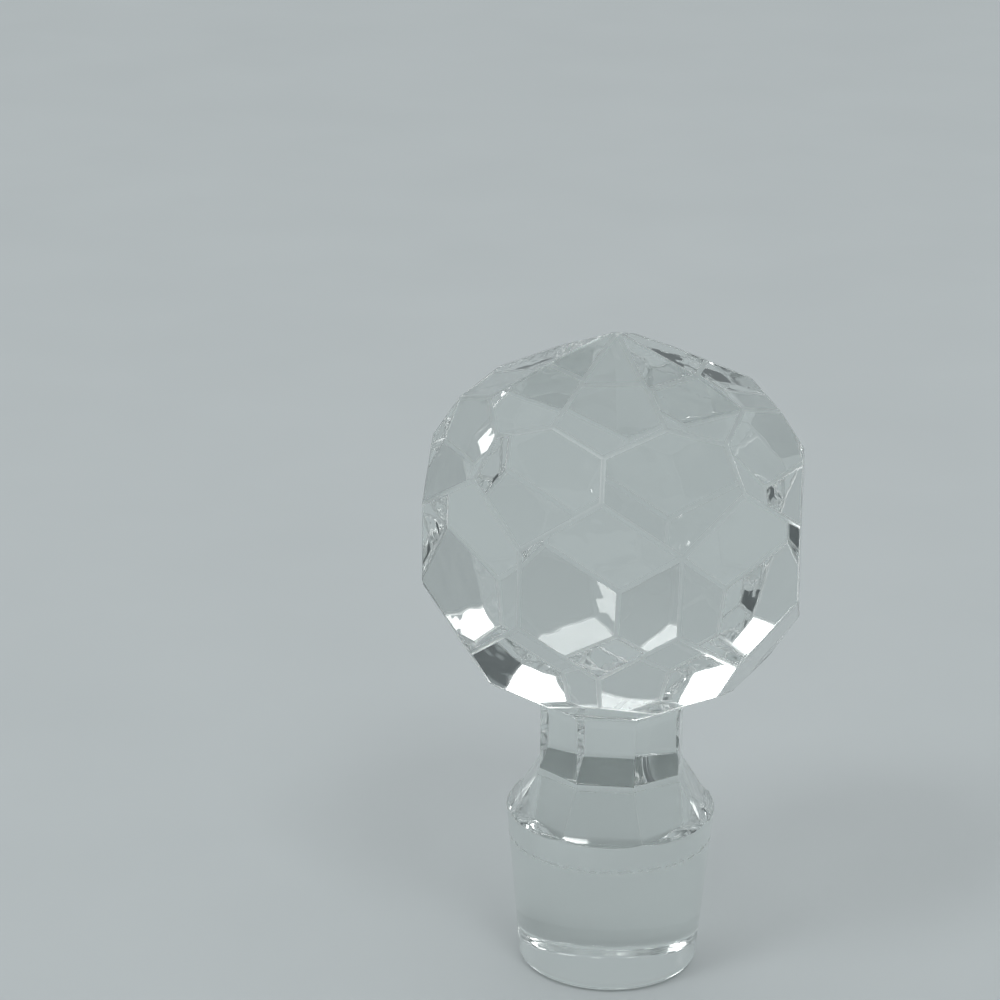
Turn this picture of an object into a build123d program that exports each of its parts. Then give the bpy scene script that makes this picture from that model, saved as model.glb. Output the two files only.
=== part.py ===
"""Cut-glass decanter stopper: a faceted ball head, a panelled neck and a tapered plug.

The stopper is one solid piece of clear glass. It is blown or pressed roughly to shape, and then its flats
are ground and polished: five rows of them round the ball, and one row of curved panels round the neck.

Frame: millimetres, +Z up the axis. The origin is the centre of the plug's flat end, on which the stopper
stands. One girdle flat and one neck panel face -Y.
"""

import os
from math import cos, hypot, radians, sin, tan

from build123d import *

os.makedirs("parts", exist_ok=True)

# --- Driving dimensions: millimetres and degrees ---------------------------------------------------------

FLATS = 8  # facets in each row of the head, and panels round the neck

# Plug: the tapered seat that closes the bottle's neck.
PLUG_END_DIAMETER = 22.9  # at the flat end, before its edge is rounded
COLLAR_DIAMETER = 26.8  # at the sharp rim where the taper ends
PLUG_LENGTH = 21.4  # flat end to rim
PLUG_END_ROUND = 1.3  # radius of the rounded bottom edge

# Neck: eight panels, each ground by a wheel that leaves it straight across and curved along its length.
NECK_ACROSS_PANELS = 17.7  # at the waist
SHOULDER_LEAN = 30.0  # angle from vertical of the panels between rim and waist
PANEL_FOOT_RADIUS = 2.0  # where a panel runs out on the rim
WAIST_RADIUS = 2.4  # between the shoulder and the upright part of a panel
THROAT_RADIUS = 3.2  # where a panel runs out under the head
THROAT_HEIGHT = 35.6  # where the upright part of a panel ends
ROOT_OVERLAP = 3.0  # how far the neck runs up into the head

# Head: rows of flats above and below the girdle. The lower rows mirror the upper ones.
GIRDLE_ACROSS_FLATS = 47.0  # across opposite upright flats
GIRDLE_EDGE_LENGTH = 10.4  # of the upright edge between two girdle flats
BREAK_TILT = 31.0  # angle above the horizon that a break flat faces
MAIN_TILT = 62.0  # the same for a main flat
MAIN_START_RADIUS = 20.2  # from the axis to the outer corner of a main flat
CROWN_TILT = 66.5  # the same angle for the flats of the pointed crown
CROWN_ACROSS_FLATS = 24.2  # where the crown rises from the main flats

# --- Sizes that follow from them -------------------------------------------------------------------------

step_angle = 360 / FLATS
half_step = step_angle / 2

# Neck panel, as a line in a plane through the axis.
shoulder_turn = 90 - SHOULDER_LEAN
neck_apothem = NECK_ACROSS_PANELS / 2
collar_radius = COLLAR_DIAMETER / 2
foot_reach = collar_radius - PANEL_FOOT_RADIUS * tan(radians(shoulder_turn / 2))
waist_height = PLUG_LENGTH + (foot_reach - neck_apothem) / tan(radians(SHOULDER_LEAN))
throat_top = THROAT_HEIGHT + THROAT_RADIUS

# Head profile, with heights above the girdle's mid plane.
girdle_apothem = GIRDLE_ACROSS_FLATS / 2
girdle_corner = girdle_apothem / cos(radians(half_step))
edge_rise = GIRDLE_EDGE_LENGTH / 2
break_reach = MAIN_START_RADIUS * cos(radians(half_step))
main_rise = edge_rise + (girdle_corner - break_reach) / tan(radians(BREAK_TILT))
crown_apothem = CROWN_ACROSS_FLATS / 2
crown_rise = main_rise + (MAIN_START_RADIUS - crown_apothem) / tan(radians(MAIN_TILT))
point_rise = crown_rise + crown_apothem / tan(radians(CROWN_TILT))

# The head sits where its lower main flats cut the curve of the throat, this far out from the neck panel.
throat_step = THROAT_RADIUS * (1 - cos(radians(MAIN_TILT / 2)))
throat_rise = THROAT_RADIUS * sin(radians(MAIN_TILT / 2))
throat_drop = main_rise + (MAIN_START_RADIUS - neck_apothem - throat_step) / tan(radians(MAIN_TILT))
girdle_height = THROAT_HEIGHT + throat_rise + throat_drop
blank_radius = hypot(girdle_corner, point_rise)  # a ball that holds every corner of the finished head


def facet_plane(azimuth: float, tilt: float, reach: float, height: float) -> Plane:
    """The plane of one flat, through a point at this reach from the axis and this height, facing outwards."""
    outward = Vector(cos(radians(azimuth)), sin(radians(azimuth)), 0)
    facing = outward * cos(radians(tilt)) + Vector(0, 0, sin(radians(tilt)))
    return Plane(origin=outward * reach + Vector(0, 0, height), z_dir=facing)


# Rows of the head: first azimuth, tilt, and a point that its flats pass through.
head_rows = [
    (0, 0, girdle_apothem, girdle_height),
    (half_step, BREAK_TILT, girdle_corner, girdle_height + edge_rise),
    (half_step, -BREAK_TILT, girdle_corner, girdle_height - edge_rise),
    (0, MAIN_TILT, MAIN_START_RADIUS, girdle_height + main_rise),
    (0, -MAIN_TILT, MAIN_START_RADIUS, girdle_height - main_rise),
    (0, CROWN_TILT, crown_apothem, girdle_height + crown_rise),
]

# --- Head: a round blank, ground flat by flat ------------------------------------------------------------

with BuildPart() as head:
    with Locations((0, 0, girdle_height)):
        Sphere(radius=blank_radius)
    for first_azimuth, tilt, reach, height in head_rows:
        for turn in range(FLATS):
            azimuth = first_azimuth + turn * step_angle
            split(bisect_by=facet_plane(azimuth, tilt, reach, height), keep=Keep.BOTTOM)

# --- Panel cutter: what the wheel takes away to leave one panel of the neck ------------------------------

cutter_reach = COLLAR_DIAMETER  # twice as far out as the glass that it cuts
with BuildPart() as panel_cutter:
    with BuildSketch(Plane.XZ):
        with BuildLine():
            panel_line = FilletPolyline(
                (cutter_reach, PLUG_LENGTH),
                (foot_reach, PLUG_LENGTH),
                (neck_apothem, waist_height),
                (neck_apothem, throat_top),
                (cutter_reach, throat_top),
                radius=[PANEL_FOOT_RADIUS, WAIST_RADIUS, THROAT_RADIUS],
            )
            Line(panel_line @ 1, panel_line @ 0)
        make_face()
    extrude(amount=collar_radius, both=True)

# --- Shank: the turned plug and the neck, with its panels cut --------------------------------------------

shank_top = THROAT_HEIGHT + ROOT_OVERLAP
with BuildPart() as shank:
    with BuildSketch(Plane.XZ) as shank_profile:
        with BuildLine():
            Polyline(
                (0, 0),
                (PLUG_END_DIAMETER / 2, 0),
                (collar_radius, PLUG_LENGTH),
                (collar_radius, shank_top),
                (0, shank_top),
                close=True,
            )
        make_face()
        fillet(shank_profile.vertices().group_by(Axis.Y)[0].sort_by(Axis.X)[-1], radius=PLUG_END_ROUND)
    revolve(axis=Axis.Z)
    with PolarLocations(0, FLATS):
        add(panel_cutter.part, mode=Mode.SUBTRACT)

# --- Stopper: head and shank are one piece of glass ------------------------------------------------------

with BuildPart() as stopper:
    add(shank.part)
    add(head.part)

stopper.part.label = "stopper"
export_step(stopper.part, "parts/stopper.step")

print(f"height {girdle_height + point_rise:.2f}, girdle at {girdle_height:.2f}, solids {len(stopper.solids())}")
print(f"volume {stopper.part.volume / 1000:.2f} cm3, faces {len(stopper.faces())}, valid {stopper.part.is_valid}")
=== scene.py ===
"""Cut-glass decanter stopper: one solid piece of clear crystal, on a pale studio floor.

A pointed ball head is ground flat by flat, an eight-sided neck is cut with a curved wheel, and the round
tapered plug below is turned, ground to fit a bottle's neck and polished. All lengths are in metres.
"""

import logging
import random
from collections.abc import Callable
from dataclasses import dataclass
from enum import Enum
from math import cos, radians, sin, tan

import bmesh
import bpy
from mathutils import Matrix, Vector


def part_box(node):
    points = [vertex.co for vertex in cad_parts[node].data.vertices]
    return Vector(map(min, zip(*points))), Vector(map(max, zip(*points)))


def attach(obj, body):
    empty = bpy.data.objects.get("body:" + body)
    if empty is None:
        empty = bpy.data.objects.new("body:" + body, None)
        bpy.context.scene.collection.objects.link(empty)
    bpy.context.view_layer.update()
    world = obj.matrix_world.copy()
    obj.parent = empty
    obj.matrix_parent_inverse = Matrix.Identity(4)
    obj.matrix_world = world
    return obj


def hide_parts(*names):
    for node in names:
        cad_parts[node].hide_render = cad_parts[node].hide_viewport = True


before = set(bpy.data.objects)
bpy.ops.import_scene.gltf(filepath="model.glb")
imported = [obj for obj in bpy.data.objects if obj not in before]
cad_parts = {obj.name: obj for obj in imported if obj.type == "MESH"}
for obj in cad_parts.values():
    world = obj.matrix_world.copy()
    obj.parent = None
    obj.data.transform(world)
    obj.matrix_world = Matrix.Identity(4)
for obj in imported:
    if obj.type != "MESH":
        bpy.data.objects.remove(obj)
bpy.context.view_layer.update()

NODE = "stopper"
BODY = "root"
WELD = 1e-6  # vertices nearer than this are one
ARRIS_STRIPS = 3  # strips across each rounded arris
SMOOTH_LIMIT = 24.0  # degrees: faces that meet at a smaller turn are shaded as one curve
GLASS_TINT = "f1f5f3"  # the faint grey-green that a thick piece of clear glass has
GLASS_IOR = 1.53  # index of refraction of light lead crystal

log = logging.getLogger("stopper")


def mm(length: float) -> float:
    """Turns millimetres into the scene's metres.

    Args:
        length: a length in millimetres.

    Returns:
        The same length in metres.
    """
    return length / 1000


def colour(code: str) -> tuple[float, float, float, float]:
    """Turns an sRGB hex colour into the linear values that a socket takes.

    Args:
        code: six hex digits, such as "c8d0d2".

    Returns:
        Linear red, green and blue, with an alpha of 1.
    """
    channels = [int(code[i : i + 2], 16) / 255 for i in (0, 2, 4)]
    linear = [c / 12.92 if c <= 0.04045 else ((c + 0.055) / 1.055) ** 2.4 for c in channels]
    return (*linear, 1.0)


# --- Modelling by hand: selections and operators -----------------------------------------------------------


class Join(Enum):
    """How a second solid acts on the first."""

    CUT = "DIFFERENCE"
    FUSE = "UNION"


class Finish(Enum):
    """Which of the piece's materials a face has."""

    FLAT = 0
    ARRIS = 1


def pick_only(piece: bpy.types.Object) -> None:
    """Leaves one object selected and active.

    Args:
        piece: the object to work on.
    """
    bpy.ops.object.select_all(action="DESELECT")
    piece.select_set(True)
    bpy.context.view_layer.objects.active = piece


def edit(piece: bpy.types.Object) -> None:
    """Opens one object's mesh in edit mode.

    Args:
        piece: the mesh object to open.
    """
    pick_only(piece)
    bpy.ops.object.mode_set(mode="EDIT")


def close_edit() -> None:
    """Leaves edit mode."""
    bpy.ops.object.mode_set(mode="OBJECT")


def select_edges(piece: bpy.types.Object, wanted: Callable[[Vector, Vector], bool]) -> None:
    """Selects the edges of the open mesh whose two ends pass a test.

    Args:
        piece: the object in edit mode.
        wanted: takes the places of an edge's two ends.
    """
    bpy.ops.mesh.select_mode(type="EDGE")
    bpy.ops.mesh.select_all(action="DESELECT")
    mesh = bmesh.from_edit_mesh(piece.data)
    for edge in mesh.edges:
        edge.select_set(wanted(edge.verts[0].co, edge.verts[1].co))
    mesh.select_flush_mode()
    bmesh.update_edit_mesh(piece.data)


def place_in_mesh(piece: bpy.types.Object) -> None:
    """Applies an object's place, turn and scale, so that it sits at the origin.

    Args:
        piece: the object whose transform moves into its mesh.
    """
    pick_only(piece)
    bpy.ops.object.transform_apply(location=True, rotation=True, scale=True)


def combine(piece: bpy.types.Object, other: bpy.types.Object, how: Join) -> None:
    """Cuts or fuses one solid with another, and deletes the other.

    Args:
        piece: the solid that stays.
        other: the solid that is used up.
        how: whether other is cut away or fused.
    """
    pick_only(piece)
    boolean = piece.modifiers.new(how.name.lower(), "BOOLEAN")
    boolean.operation = how.value
    boolean.solver = "EXACT"
    boolean.object = other
    bpy.ops.object.modifier_apply(modifier=boolean.name)
    bpy.data.objects.remove(other)


def merge_corners(piece: bpy.types.Object, least_edge: float) -> None:
    """Makes corners that nearly meet into one, because they would hold back the rounding of every arris.

    Args:
        piece: the solid to mend.
        least_edge: corners nearer than this become one.
    """
    edit(piece)
    bpy.ops.mesh.select_all(action="SELECT")
    bpy.ops.mesh.remove_doubles(threshold=least_edge)
    close_edit()


def soften(piece: bpy.types.Object, width: float, limit: float) -> None:
    """Rounds every arris sharper than a limit, as handling and the polishing wheel do.

    The rounding takes the arris finish, and the rest keeps that of the flats.

    Args:
        piece: the solid to soften.
        width: how far from the arris the rounding starts.
        limit: the least turn, in degrees, that counts as an arris.
    """
    pick_only(piece)
    for _ in Finish:
        piece.data.materials.append(None)
    bevel = piece.modifiers.new("soften", "BEVEL")
    bevel.material = Finish.ARRIS.value
    bevel.width = width
    bevel.segments = ARRIS_STRIPS
    bevel.limit_method = "ANGLE"
    bevel.angle_limit = radians(limit)
    bevel.miter_outer = "MITER_ARC"
    bevel.use_clamp_overlap = True
    bpy.ops.object.modifier_apply(modifier=bevel.name)


# --- Head: the pointed ball --------------------------------------------------------------------------------


@dataclass(frozen=True)
class Row:
    """One row of flats round the head.

    Attributes:
        name: what a glass cutter would call the row.
        offset: how far its flats are turned from those of the girdle, as a share of one step.
        tilt: the angle above the horizon that a flat faces, in degrees.
        reach: distance from the axis of a point that the flats pass through.
        height: height of that point.
        care: share of the usual grinding depth that the cutter allows here.
    """

    name: str
    offset: float
    tilt: float
    reach: float
    height: float
    care: float = 1.0


@dataclass
class FacetedHead:
    """The pointed ball: rows of flats above and below a girdle.

    Attributes:
        flats: flats in each row.
        across_flats: across opposite flats of the girdle.
        top: height of the point.
        girdle_edge: length of the upright edge between two girdle flats.
        break_tilt: angle that a break flat faces.
        main_tilt: angle that a main flat faces.
        main_start: from the axis to a main flat's outer corner.
        crown_tilt: angle that a flat of the crown faces.
        crown_across: across the crown's flats where they rise from the main ones.
        arris: how far from an arris its rounding starts.
        arris_limit: least turn between two flats that counts as an arris, in degrees.
        least_edge: corners of the flats that come nearer than this are ground into one.
        hand_turn: most that the cutter's hand turns or tilts a flat, in degrees.
        hand_depth: most that a flat is ground past its line.
        seed: sets which flats are the uneven ones.
    """

    flats: int
    across_flats: float
    top: float
    girdle_edge: float = mm(10.4)
    break_tilt: float = 31.0
    main_tilt: float = 62.0
    main_start: float = mm(20.2)
    crown_tilt: float = 66.5
    crown_across: float = mm(24.2)
    arris: float = mm(0.34)
    arris_limit: float = 2.0
    least_edge: float = mm(0.9)
    hand_turn: float = 0.9
    hand_depth: float = mm(0.36)
    seed: int = 19931

    def rows(self) -> list[Row]:
        """Works out the rows of flats, from the girdle outwards.

        Returns:
            The six rows, in the order in which they are ground.
        """
        half_step = radians(180 / self.flats)
        girdle = self.across_flats / 2
        corner = girdle / cos(half_step)
        edge_rise = self.girdle_edge / 2
        break_run = corner - self.main_start * cos(half_step)
        main_rise = edge_rise + break_run / tan(radians(self.break_tilt))
        crown = self.crown_across / 2
        crown_rise = main_rise + (self.main_start - crown) / tan(radians(self.main_tilt))
        middle = self.top - crown_rise - crown / tan(radians(self.crown_tilt))
        return [
            Row("girdle", 0, 0, girdle, middle),
            Row("upper break", 0.5, self.break_tilt, corner, middle + edge_rise),
            Row("lower break", 0.5, -self.break_tilt, corner, middle - edge_rise),
            Row("upper main", 0, self.main_tilt, self.main_start, middle + main_rise),
            Row("lower main", 0, -self.main_tilt, self.main_start, middle - main_rise),
            Row("crown", 0, self.crown_tilt, crown, middle + crown_rise, care=0.3),
        ]

    def grind(self, turn: float, row: Row, hand: random.Random) -> None:
        """Grinds one flat on the open mesh.

        Args:
            turn: the flat's direction round the axis, in degrees.
            row: the row that it belongs to.
            hand: where the small errors of a hand-held cut come from.
        """
        towards = Vector((cos(radians(turn)), sin(radians(turn)), 0))
        place = towards * row.reach + Vector((0, 0, row.height))
        slip_turn = radians(turn + hand.uniform(-self.hand_turn, self.hand_turn))
        slip_tilt = radians(row.tilt + hand.uniform(-self.hand_turn, self.hand_turn))
        facing = Vector((cos(slip_turn) * cos(slip_tilt), sin(slip_turn) * cos(slip_tilt), sin(slip_tilt)))
        depth = row.care * hand.uniform(self.hand_depth / 2, self.hand_depth)
        bpy.ops.mesh.select_all(action="SELECT")
        bpy.ops.mesh.bisect(
            plane_co=place - facing * depth,
            plane_no=facing,
            use_fill=True,
            clear_outer=True,
            threshold=WELD,
        )

    def build(self) -> bpy.types.Object:
        """Grinds the head from a ball.

        Returns:
            The head as a closed solid, with its arrises softened.
        """
        girdle_row = self.rows()[0]
        bpy.ops.object.select_all(action="DESELECT")
        bpy.ops.mesh.primitive_ico_sphere_add(
            subdivisions=2, radius=self.across_flats, location=(0, 0, girdle_row.height)
        )
        head = bpy.context.object
        head.name = "head"
        place_in_mesh(head)
        hand = random.Random(self.seed)
        edit(head)
        for row in self.rows():
            for flat in range(self.flats):
                self.grind((flat + row.offset) * 360 / self.flats, row, hand)
        close_edit()
        merge_corners(head, self.least_edge)
        soften(head, self.arris, self.arris_limit)
        return head


# --- Shank: the tapered plug and the panelled neck ---------------------------------------------------------


@dataclass
class Shank:
    """The round tapered plug and the neck above it, with its wheel-cut panels.

    Attributes:
        panels: panels round the neck.
        end_diameter: plug diameter at the flat end.
        collar_diameter: plug diameter at the rim where the taper ends.
        plug_length: flat end to rim.
        end_round: radius of the rounded bottom edge.
        neck_across: across opposite panels at the waist.
        shoulder_lean: angle from vertical of the panels between rim and waist, in degrees.
        foot_radius: curve where a panel runs out on the rim.
        waist_radius: curve between the shoulder and the upright part of a panel.
        throat_radius: curve where a panel runs out under the head.
        throat_height: where the upright part of a panel ends.
        root_overlap: how far the neck runs up into the head.
        round_steps: steps round the plug.
        curve_steps: steps along a panel's curve.
        end_round_steps: steps round the bottom edge's curve.
        arris: how far from an arris its rounding starts.
        arris_limit: least turn between two faces that counts as an arris, in degrees.
        least_edge: corners that come nearer than this are ground into one.
    """

    panels: int
    end_diameter: float = mm(22.9)
    collar_diameter: float = mm(26.8)
    plug_length: float = mm(21.4)
    end_round: float = mm(1.3)
    neck_across: float = mm(17.7)
    shoulder_lean: float = 30.0
    foot_radius: float = mm(2.0)
    waist_radius: float = mm(2.4)
    throat_radius: float = mm(3.2)
    throat_height: float = mm(35.6)
    root_overlap: float = mm(3.0)
    round_steps: int = 288
    curve_steps: int = 12
    end_round_steps: int = 8
    arris: float = mm(0.16)
    arris_limit: float = 12.0
    least_edge: float = mm(0.04)

    def blank(self) -> bpy.types.Object:
        """Turns the plug, with a plain round bar above it for the neck.

        Returns:
            The turned bar as a closed solid.
        """
        height = self.throat_height + self.root_overlap
        bpy.ops.object.select_all(action="DESELECT")
        bpy.ops.mesh.primitive_cylinder_add(
            vertices=self.round_steps,
            radius=self.collar_diameter / 2,
            depth=height,
            end_fill_type="NGON",
            location=(0, 0, height / 2),
        )
        bar = bpy.context.object
        bar.name = "shank"
        place_in_mesh(bar)
        edit(bar)
        bpy.ops.mesh.select_all(action="SELECT")
        bpy.ops.mesh.bisect(plane_co=(0, 0, self.plug_length), plane_no=(0, 0, 1))
        select_edges(bar, lambda a, b: max(a.z, b.z) < WELD)
        shrink = self.end_diameter / self.collar_diameter
        bpy.ops.transform.resize(value=(shrink, shrink, 1), center_override=(0, 0, 0))
        bpy.ops.mesh.bevel(
            offset=self.end_round, segments=self.end_round_steps, profile=0.5, affect="EDGES"
        )
        close_edit()
        return bar

    def panel_cutter(self) -> bpy.types.Object:
        """Shapes what the wheel takes away to leave one panel, facing +X.

        Returns:
            The cutter as a closed solid.
        """
        waist = self.neck_across / 2
        turn = radians(90 - self.shoulder_lean)
        foot = self.collar_diameter / 2 - self.foot_radius * tan(turn / 2)
        waist_height = self.plug_length + (foot - waist) / tan(radians(self.shoulder_lean))
        top = self.throat_height + self.throat_radius
        depth = self.collar_diameter - waist
        bpy.ops.object.select_all(action="DESELECT")
        bpy.ops.mesh.primitive_cube_add(
            size=1,
            location=(waist + depth / 2, 0, (self.plug_length + top) / 2),
            scale=(depth, self.collar_diameter, top - self.plug_length),
        )
        cutter = bpy.context.object
        cutter.name = "panel_cutter"
        place_in_mesh(cutter)
        edit(cutter)
        bpy.ops.mesh.select_all(action="SELECT")
        bpy.ops.mesh.bisect(plane_co=(0, 0, waist_height), plane_no=(0, 0, 1))

        def on_panel(at: Vector, height: float) -> bool:
            return at.x < foot + WELD and abs(at.z - height) < WELD

        select_edges(cutter, lambda a, b: on_panel(a, self.plug_length) and on_panel(b, self.plug_length))
        bpy.ops.transform.translate(value=(foot - waist, 0, 0))
        curves = (
            (self.plug_length, self.foot_radius, turn),
            (waist_height, self.waist_radius, radians(self.shoulder_lean)),
            (top, self.throat_radius, radians(90)),
        )
        for height, radius, bend in curves:
            select_edges(cutter, lambda a, b, h=height: on_panel(a, h) and on_panel(b, h))
            bpy.ops.mesh.bevel(
                offset=radius * tan(bend / 2),
                segments=self.curve_steps,
                profile=0.5,
                affect="EDGES",
                clamp_overlap=False,
            )
        close_edit()
        return cutter

    def build(self) -> bpy.types.Object:
        """Turns the shank and cuts its panels.

        Returns:
            The shank as a closed solid, with its arrises softened.
        """
        shank = self.blank()
        pattern = self.panel_cutter()
        for panel in range(self.panels):
            pick_only(pattern)
            bpy.ops.object.duplicate()
            cutter = bpy.context.object
            cutter.rotation_euler.z = radians(panel * 360 / self.panels)
            place_in_mesh(cutter)
            combine(shank, cutter, Join.CUT)
        bpy.data.objects.remove(pattern)
        merge_corners(shank, self.least_edge)
        soften(shank, self.arris, self.arris_limit)
        return shank


# --- Finish ------------------------------------------------------------------------------------------------


def add_node(
    tree: bpy.types.NodeTree, kind: str, sockets: dict[str, object] | None = None, **settings: object
) -> bpy.types.Node:
    """Adds one node with its settings, values and links.

    Args:
        tree: the node tree that it joins.
        kind: the node's type name.
        sockets: for an input's name or number, a value or the output that feeds it.
        settings: the node's own properties.

    Returns:
        The new node.
    """
    node = tree.nodes.new(kind)
    for name, value in settings.items():
        setattr(node, name, value)
    for name, value in (sockets or {}).items():
        if isinstance(value, bpy.types.NodeSocket):
            tree.links.new(value, node.inputs[name])
        else:
            node.inputs[name].default_value = value
    return node


def new_material(name: str) -> tuple[bpy.types.Material, bpy.types.NodeTree]:
    """Makes an empty node material.

    Args:
        name: the material's name.

    Returns:
        The material and its node tree, with no nodes in it.
    """
    material = bpy.data.materials.new(name)
    material.use_nodes = True
    material.node_tree.nodes.clear()
    return material, material.node_tree


@dataclass(frozen=True)
class CutCrystal:
    """Lead crystal, ground in flats and polished bright, with a plug ground and polished to fit.

    Polish gives it a mirror surface with slow waves. The ground part of the plug keeps a trace of haze and of
    rings round it, and ends in a rough broken line.

    Attributes:
        ripple_size: across one of the shallow waves that polishing leaves on a flat.
        ripple_depth: depth of those waves.
        ring_pitch: between the faint rings that the plug's grinding leaves.
        ring_depth: depth of those rings.
        ring_stretch: how much closer the rings' pattern is along the plug than round it.
        ground_height: how far up the plug its grinding goes.
        ground_waver: most that the end of the grinding strays from that height.
        ground_step: height in which the ground part gives way to the polished part.
        step_depth: how far the ground part lies below the polished part above it.
        ground_roughness: haze that the polish leaves on the ground part.
        ragged_size: across one of the breaks in the line where the ground part ends.
        scuff_width: width of that line.
        scuff_roughness: roughness of that line.
        scuff_gaps: values of the break pattern between which the line fades in.
    """

    ripple_size: float = mm(7.0)
    ripple_depth: float = mm(0.04)
    ring_pitch: float = mm(0.5)
    ring_depth: float = mm(0.002)
    ring_stretch: float = 0.03
    ground_height: float = mm(17.9)
    ground_waver: float = mm(0.5)
    ground_step: float = mm(0.1)
    step_depth: float = mm(0.03)
    ground_roughness: float = 0.03
    ragged_size: float = mm(1.2)
    scuff_width: float = mm(0.5)
    scuff_roughness: float = 0.5
    scuff_gaps: tuple[float, float] = (0.42, 0.52)

    def waves(self, tree: bpy.types.NodeTree, place: bpy.types.NodeSocket) -> bpy.types.NodeSocket:
        """Adds the slow waves that bend what is seen through a polished flat.

        Args:
            tree: the material's node tree.
            place: the point's place in the piece.

        Returns:
            The waved normal.
        """
        ripple = add_node(
            tree,
            "ShaderNodeTexNoise",
            {"Vector": place, "Scale": 1 / self.ripple_size, "Detail": 2.0, "Roughness": 0.45},
        )
        flats = add_node(
            tree, "ShaderNodeBump", {"Height": ripple.outputs["Fac"], "Distance": self.ripple_depth}
        )
        return flats.outputs["Normal"]

    def rings(
        self,
        tree: bpy.types.NodeTree,
        place: bpy.types.NodeSocket,
        ground: bpy.types.NodeSocket,
        normal: bpy.types.NodeSocket,
    ) -> bpy.types.NodeSocket:
        """Adds the faint rings of the plug's grinding, and the small step where it ends.

        Args:
            tree: the material's node tree.
            place: the point's place in the piece.
            ground: 1 on the ground part and 0 elsewhere.
            normal: the normal that they are added to.

        Returns:
            The normal with the rings.
        """
        squash = (self.ring_stretch, self.ring_stretch, 1.0)
        stretch = add_node(tree, "ShaderNodeMapping", {"Vector": place, "Scale": squash})
        rings = add_node(
            tree,
            "ShaderNodeTexNoise",
            {"Vector": stretch.outputs["Vector"], "Scale": 1 / self.ring_pitch, "Detail": 2.0},
        )
        relief = add_node(
            tree,
            "ShaderNodeMapRange",
            {"Value": rings.outputs["Fac"], "To Min": 1 - self.ring_depth / self.step_depth},
        )
        ground_away = add_node(
            tree, "ShaderNodeMath", {0: relief.outputs["Result"], 1: ground}, operation="MULTIPLY"
        )
        surface = add_node(
            tree,
            "ShaderNodeBump",
            {"Height": ground_away.outputs[0], "Distance": self.step_depth, "Normal": normal},
            invert=True,
        )
        return surface.outputs["Normal"]

    def haze(
        self,
        tree: bpy.types.NodeTree,
        above: bpy.types.NodeSocket,
        ragged: bpy.types.NodeSocket,
        ground: bpy.types.NodeSocket,
    ) -> bpy.types.NodeSocket:
        """Adds the trace of haze on the ground part, and the rough line that the polish missed.

        Args:
            tree: the material's node tree.
            above: height above the end of the grinding.
            ragged: the pattern that breaks up the line.
            ground: 1 on the ground part and 0 elsewhere.

        Returns:
            The roughness of the glass.
        """
        trace = add_node(
            tree,
            "ShaderNodeMapRange",
            {"Value": ground, "To Min": 0.0, "To Max": self.ground_roughness},
        )
        beside = add_node(tree, "ShaderNodeMath", {0: above}, operation="ABSOLUTE")
        line = add_node(
            tree,
            "ShaderNodeMapRange",
            {
                "Value": beside.outputs[0],
                "From Min": self.scuff_width / 4,
                "From Max": self.scuff_width / 2,
                "To Min": self.scuff_roughness,
                "To Max": 0.0,
            },
        )
        low, high = self.scuff_gaps
        missed = add_node(tree, "ShaderNodeMapRange", {"Value": ragged, "From Min": low, "From Max": high})
        scuff = add_node(
            tree,
            "ShaderNodeMath",
            {0: line.outputs["Result"], 1: missed.outputs["Result"]},
            operation="MULTIPLY",
        )
        haze = add_node(
            tree, "ShaderNodeMath", {0: trace.outputs["Result"], 1: scuff.outputs[0]}, operation="MAXIMUM"
        )
        return haze.outputs[0]

    def material(self) -> bpy.types.Material:
        """Builds the node material.

        Returns:
            The finished glass.
        """
        material, tree = new_material("cut_crystal_polished")
        place = add_node(tree, "ShaderNodeTexCoord").outputs["Object"]
        height = add_node(tree, "ShaderNodeSeparateXYZ", {"Vector": place}).outputs["Z"]
        ragged = add_node(
            tree, "ShaderNodeTexNoise", {"Vector": place, "Scale": 1 / self.ragged_size, "Detail": 2.0}
        ).outputs["Fac"]
        edge = add_node(
            tree,
            "ShaderNodeMapRange",
            {
                "Value": ragged,
                "To Min": self.ground_height - self.ground_waver,
                "To Max": self.ground_height + self.ground_waver,
            },
        )
        above = add_node(
            tree, "ShaderNodeMath", {0: height, 1: edge.outputs["Result"]}, operation="SUBTRACT"
        ).outputs[0]
        ground = add_node(
            tree,
            "ShaderNodeMapRange",
            {"Value": above, "From Min": self.ground_step / 2, "From Max": -self.ground_step / 2},
        ).outputs["Result"]
        glass = add_node(
            tree,
            "ShaderNodeBsdfPrincipled",
            {
                "Base Color": colour(GLASS_TINT),
                "Metallic": 0.0,
                "Roughness": self.haze(tree, above, ragged, ground),
                "IOR": GLASS_IOR,
                "Transmission Weight": 1.0,
                "Normal": self.rings(tree, place, ground, self.waves(tree, place)),
            },
        )
        add_node(tree, "ShaderNodeOutputMaterial", {"Surface": glass.outputs["BSDF"]})
        return material


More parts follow.
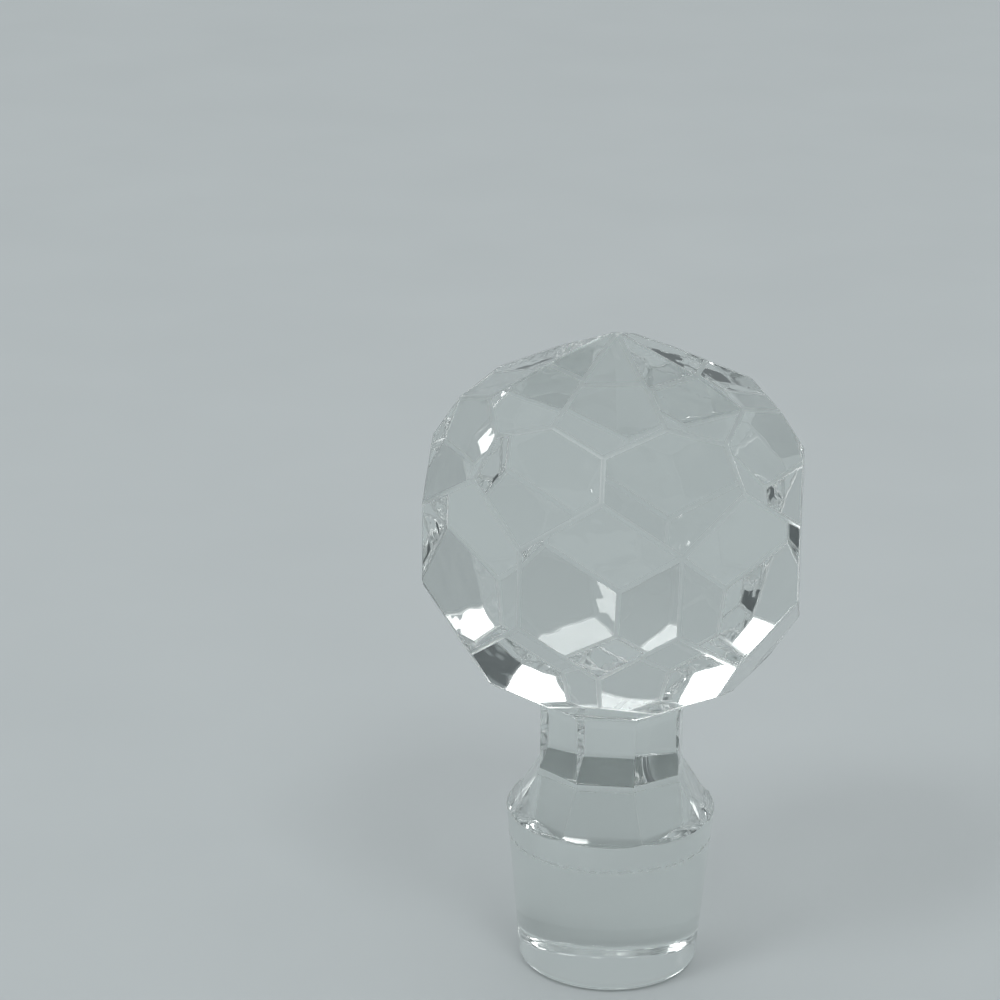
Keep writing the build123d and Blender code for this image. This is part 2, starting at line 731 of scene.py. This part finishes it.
@dataclass(frozen=True)
class WornArris:
    """The rounded edges between the flats, rubbed to a faint satin by handling.

    Attributes:
        roughness: of the rubbed edge, which spreads lamp light into a thin line.
        grit_size: across one of the fine bruises, drawn coarser than real so that they show.
        grit_depth: depth of those bruises.
    """

    roughness: float = 0.3
    grit_size: float = mm(0.5)
    grit_depth: float = mm(0.01)

    def material(self) -> bpy.types.Material:
        """Builds the node material.

        Returns:
            The finished edge.
        """
        material, tree = new_material("cut_crystal_worn_arris")
        place = add_node(tree, "ShaderNodeTexCoord").outputs["Object"]
        grit = add_node(
            tree, "ShaderNodeTexNoise", {"Vector": place, "Scale": 1 / self.grit_size, "Detail": 2.0}
        )
        bruised = add_node(
            tree, "ShaderNodeBump", {"Height": grit.outputs["Fac"], "Distance": self.grit_depth}
        )
        glass = add_node(
            tree,
            "ShaderNodeBsdfPrincipled",
            {
                "Base Color": colour(GLASS_TINT),
                "Metallic": 0.0,
                "Roughness": self.roughness,
                "IOR": GLASS_IOR,
                "Transmission Weight": 1.0,
                "Normal": bruised.outputs["Normal"],
            },
        )
        add_node(tree, "ShaderNodeOutputMaterial", {"Surface": glass.outputs["BSDF"]})
        return material


# --- Stopper: head and shank as one piece of glass ---------------------------------------------------------


@dataclass
class Stopper:
    """The whole stopper.

    Attributes:
        flats: flats in each row of the head, and panels round the neck.
        glass: the glass that it is made of.
        arris: the finish of its rounded edges.
    """

    flats: int = 8
    glass: CutCrystal = CutCrystal()
    arris: WornArris = WornArris()

    def build(self) -> bpy.types.Object:
        """Builds, fuses and dresses the stopper, in place of its CAD node.

        Returns:
            The finished piece.
        """
        low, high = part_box(NODE)
        head = FacetedHead(flats=self.flats, across_flats=high.x - low.x, top=high.z).build()
        piece = Shank(panels=self.flats).build()
        combine(piece, head, Join.FUSE)
        self.close(piece)
        piece.name = "crystal_stopper"
        piece.data.name = piece.name
        piece.data.materials[Finish.FLAT.value] = self.glass.material()
        piece.data.materials[Finish.ARRIS.value] = self.arris.material()
        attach(piece, BODY)
        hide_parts(NODE)
        return piece

    def close(self, piece: bpy.types.Object) -> None:
        """Welds the fused mesh and sets smooth normals that keep the flats flat.

        Args:
            piece: the fused solid.
        """
        edit(piece)
        bpy.ops.mesh.select_all(action="SELECT")
        bpy.ops.mesh.remove_doubles(threshold=WELD)
        bpy.ops.mesh.dissolve_degenerate(threshold=WELD)
        bpy.ops.mesh.select_all(action="SELECT")
        bpy.ops.mesh.normals_make_consistent(inside=False)
        close_edit()
        bpy.ops.object.shade_smooth_by_angle(angle=radians(SMOOTH_LIMIT))
        flatten = piece.modifiers.new("flatten", "WEIGHTED_NORMAL")
        flatten.mode = "FACE_AREA"
        flatten.keep_sharp = True
        bpy.ops.object.modifier_apply(modifier=flatten.name)


# --- Studio ------------------------------------------------------------------------------------------------


@dataclass(frozen=True)
class Softbox:
    """A large soft lamp, placed by where it stands as seen from the stopper.

    Attributes:
        name: what it is called.
        azimuth: how far round from straight behind it stands, towards the right, in degrees.
        elevation: how far above the stopper it hangs, in degrees.
        distance: from the stopper.
        size: its width and height.
        power: its strength, in watts.
        shade: its colour.
    """

    name: str
    azimuth: float
    elevation: float
    distance: float
    size: tuple[float, float]
    power: float
    shade: str = "ffffff"

    def hang(self, aim: Vector) -> None:
        """Hangs the lamp, pointed at a place.

        Args:
            aim: the place that it lights.
        """
        light = bpy.data.lights.new(self.name, "AREA")
        light.shape = "RECTANGLE"
        light.size, light.size_y = self.size
        light.energy = self.power
        light.color = colour(self.shade)[:3]
        lamp = bpy.data.objects.new(self.name, light)
        bpy.context.scene.collection.objects.link(lamp)
        turn, rise = radians(self.azimuth), radians(self.elevation)
        towards = Vector((sin(turn) * cos(rise), cos(turn) * cos(rise), sin(rise)))
        lamp.location = aim + self.distance * towards
        lamp.rotation_euler = (aim - lamp.location).to_track_quat("-Z", "Y").to_euler()


@dataclass(frozen=True)
class Viewpoint:
    """The camera, given by the place that it looks at.

    Attributes:
        azimuth: how far round from the front it stands, in degrees.
        elevation: how far above the horizon it stands, in degrees.
        distance: from the camera to the place it looks at.
        aside: how far to the left of the stopper's axis it looks.
        aim_height: height of the place that it looks at.
        roll: how far it is turned about its own line of sight, in degrees.
        lens: focal length, in millimetres.
        sensor: width of the sensor, in millimetres.
        nearest: anything nearer to the camera than this isn't drawn.
    """

    azimuth: float = 6.43
    elevation: float = 19.91
    distance: float = mm(439.7)
    aside: float = mm(14.62)
    aim_height: float = mm(63.0)
    roll: float = 0.557
    lens: float = 126.5
    sensor: float = 36.0
    nearest: float = mm(10)

    def set_up(self) -> None:
        """Makes this the scene's camera."""
        turn, rise, roll = radians(self.azimuth), radians(self.elevation), radians(self.roll)
        level = Vector((cos(turn), sin(turn), 0))
        ahead = Vector((-sin(turn) * cos(rise), cos(turn) * cos(rise), -sin(rise)))
        upward = level.cross(ahead)
        right = level * cos(roll) + upward * sin(roll)
        up = upward * cos(roll) - level * sin(roll)
        aim = Vector((0, 0, self.aim_height)) - level * self.aside
        data = bpy.data.cameras.new("camera")
        data.lens = self.lens
        data.sensor_width = self.sensor
        data.clip_start = self.nearest
        camera = bpy.data.objects.new("camera", data)
        bpy.context.scene.collection.objects.link(camera)
        turned = Matrix((right, up, -ahead)).transposed().to_4x4()
        camera.matrix_world = Matrix.Translation(aim - ahead * self.distance) @ turned
        bpy.context.scene.camera = camera


@dataclass(frozen=True)
class Studio:
    """A plain pale floor under soft lamps.

    Attributes:
        floor_shades: the two colours of the painted floor's faint mottle.
        floor_mottle: across one patch of the mottle.
        floor_roughness: of eggshell paint, which has no mirror image and hardly a sheen.
        floor_size: width of the floor.
        film: air left between the floor and the glass that stands on it.
        surround: colour of the room behind, as it is seen past and through the glass.
        dark_side: colour of the room's unlit side, which gives the flats their dark glints.
        dark_azimuth: middle of that side, round from straight behind towards the right, in degrees.
        dark_edges: how far towards that side a direction points where the room starts to darken, and where
            it is darkest: 1 is straight at its middle.
        fill: strength of the even light from the room.
        light_depth: how many times light may turn inside the glass before it is given up.
    """

    floor_shades: tuple[str, str] = ("b9c1c3", "b3bbbd")
    floor_mottle: float = mm(40)
    floor_roughness: float = 0.6
    floor_size: float = 6.0
    film: float = mm(0.03)
    surround: str = "b0b7b9"
    dark_side: str = "464c4e"
    dark_azimuth: float = 155.0
    dark_edges: tuple[float, float] = (0.25, 0.8)
    fill: float = 0.7
    light_depth: int = 32

    def lay_floor(self) -> None:
        """Lays a floor with a faint mottle of eggshell paint."""
        bpy.ops.object.select_all(action="DESELECT")
        bpy.ops.mesh.primitive_plane_add(size=self.floor_size, location=(0, 0, -self.film))
        floor = bpy.context.object
        floor.name = "floor"
        material, tree = new_material("floor_eggshell_paint")
        place = add_node(tree, "ShaderNodeTexCoord").outputs["Object"]
        mottle = add_node(
            tree, "ShaderNodeTexNoise", {"Vector": place, "Scale": 1 / self.floor_mottle, "Detail": 3.0}
        )
        first, second = self.floor_shades
        paint = add_node(
            tree,
            "ShaderNodeMix",
            {"Factor": mottle.outputs["Fac"], "A": colour(first), "B": colour(second)},
            data_type="RGBA",
        )
        shader = add_node(
            tree,
            "ShaderNodeBsdfPrincipled",
            {"Base Color": paint.outputs["Result"], "Roughness": self.floor_roughness},
        )
        add_node(tree, "ShaderNodeOutputMaterial", {"Surface": shader.outputs["BSDF"]})
        floor.data.materials.append(material)

    def room_is_seen(self, tree: bpy.types.NodeTree) -> bpy.types.NodeSocket:
        """Tells what is seen, past or through the glass, from what the floor receives.

        Args:
            tree: the world's node tree.

        Returns:
            1 where the room is seen, and 0 where it only lights the floor, through the glass or not.
        """
        path = add_node(tree, "ShaderNodeLightPath").outputs
        past = add_node(
            tree, "ShaderNodeMath", {0: path["Is Camera Ray"], 1: path["Is Glossy Ray"]}, operation="MAXIMUM"
        )
        through = add_node(
            tree, "ShaderNodeMath", {0: past.outputs[0], 1: path["Is Transmission Ray"]}, operation="MAXIMUM"
        )
        unscattered = add_node(
            tree, "ShaderNodeMath", {0: path["Diffuse Depth"], 1: 0.5}, operation="LESS_THAN"
        )
        seen = add_node(
            tree, "ShaderNodeMath", {0: through.outputs[0], 1: unscattered.outputs[0]}, operation="MULTIPLY"
        )
        return seen.outputs[0]

    def room_colour(self, tree: bpy.types.NodeTree) -> bpy.types.NodeSocket:
        """Colours the room pale, with one unlit side.

        Args:
            tree: the world's node tree.

        Returns:
            The room's colour in each direction.
        """
        turn = radians(self.dark_azimuth)
        direction = add_node(tree, "ShaderNodeTexCoord").outputs["Generated"]
        facing = add_node(
            tree,
            "ShaderNodeVectorMath",
            {0: direction, 1: (sin(turn), cos(turn), 0)},
            operation="DOT_PRODUCT",
        )
        start, end = self.dark_edges
        side = add_node(
            tree,
            "ShaderNodeMapRange",
            {"Value": facing.outputs["Value"], "From Min": start, "From Max": end},
            interpolation_type="SMOOTHSTEP",
        )
        room = add_node(
            tree,
            "ShaderNodeMix",
            {"Factor": side.outputs["Result"], "A": colour(self.surround), "B": colour(self.dark_side)},
            data_type="RGBA",
        )
        return room.outputs["Result"]

    def fill_room(self) -> None:
        """Lights the room evenly, and gives it a pale grey look past and through the glass."""
        world = bpy.data.worlds.new("room")
        world.use_nodes = True
        tree = world.node_tree
        tree.nodes.clear()
        light = add_node(tree, "ShaderNodeBackground", {"Color": colour("ffffff"), "Strength": self.fill})
        look = add_node(tree, "ShaderNodeBackground", {"Color": self.room_colour(tree), "Strength": 1.0})
        mix = add_node(
            tree,
            "ShaderNodeMixShader",
            {"Fac": self.room_is_seen(tree), 1: light.outputs["Background"], 2: look.outputs["Background"]},
        )
        add_node(tree, "ShaderNodeOutputWorld", {"Surface": mix.outputs["Shader"]})
        bpy.context.scene.world = world

    def set_up(self, aim: Vector) -> None:
        """Lays the floor, lights the room and hangs the lamps.

        Args:
            aim: the place that the lamps point at.
        """
        self.lay_floor()
        self.fill_room()
        lamps = (
            Softbox("key_left", azimuth=-138, elevation=50, distance=5.0, size=(1.3, 1.3), power=44),
            Softbox("key_right", azimuth=154, elevation=52, distance=5.0, size=(1.3, 1.3), power=40),
            Softbox("window_left", azimuth=-138, elevation=18, distance=5.0, size=(1.0, 0.8), power=10),
        )
        for lamp in lamps:
            lamp.hang(aim)
        scene = bpy.context.scene
        scene.view_settings.view_transform = "Standard"
        scene.cycles.max_bounces = self.light_depth
        scene.cycles.transmission_bounces = self.light_depth
        scene.cycles.glossy_bounces = self.light_depth


def report(piece: bpy.types.Object) -> None:
    """Logs one piece's size.

    Args:
        piece: the finished object.
    """
    size = [round(side, 5) for side in piece.dimensions]
    log.info("%s: %d faces, %s m", piece.name, len(piece.data.polygons), size)


def main() -> None:
    """Builds the stopper and its studio."""
    logging.basicConfig(level=logging.INFO, format="%(name)s: %(message)s")
    stopper = Stopper().build()
    report(stopper)
    low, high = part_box(NODE)
    Studio().set_up((low + high) / 2)
    Viewpoint().set_up()


if __name__ == "__main__":
    main()
